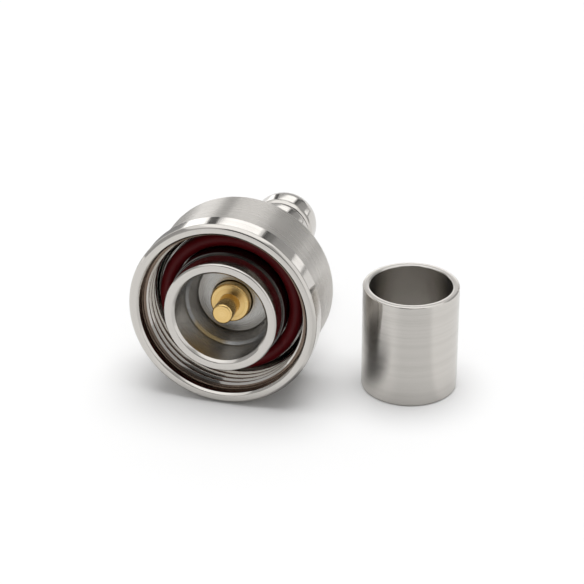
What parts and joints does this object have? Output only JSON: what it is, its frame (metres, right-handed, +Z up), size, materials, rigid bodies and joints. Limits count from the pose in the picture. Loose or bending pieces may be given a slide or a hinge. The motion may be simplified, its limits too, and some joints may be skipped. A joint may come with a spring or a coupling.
{
  "type": "coaxial cable connector plug",
  "caption": "Round coaxial plug with a free-turning threaded coupling nut, red face gasket, gold pin and beaded crimp stem, with its plain crimp ferrule beside it.",
  "frame": {"origin": "centre of the outer contact's rim, on the connector's axis, which is the mating reference plane", "axes": "-Y along the connector's axis out of its mating end, +Z up, +X towards the ferrule that stands beside it. At rest the rear end settles 3.6 degrees, until the nut's band and its barrel's rear edge both touch, and the ferrule is square to that surface"},
  "size_m": [0.0544, 0.0441, 0.033],
  "materials": {
    "nut_nickel": "satin",
    "body_nickel": "satin",
    "gasket_silicone": "satin",
    "ring_bronze": "satin",
    "insulator_plastic": "matte",
    "contact_gold": "polished",
    "stem_nickel": "polished",
    "ferrule_nickel": "satin"
  },
  "bodies": {
    "connector": {"connector_body": "body_nickel", "face_gasket": "gasket_silicone", "snap_ring": "ring_bronze", "insulator": "insulator_plastic", "centre_contact": "contact_gold", "crimp_stem": "stem_nickel", "crimp_ferrule": "ferrule_nickel"},
    "nut": {"coupling_nut": "nut_nickel"}
  },
  "joints": [
    {"name": "nut_spin", "type": "hinge", "parent": "connector", "child": "nut", "pos_m": [0, 0.0124, 0], "axis": [0, 1, 0], "continuous": true}
  ]
}
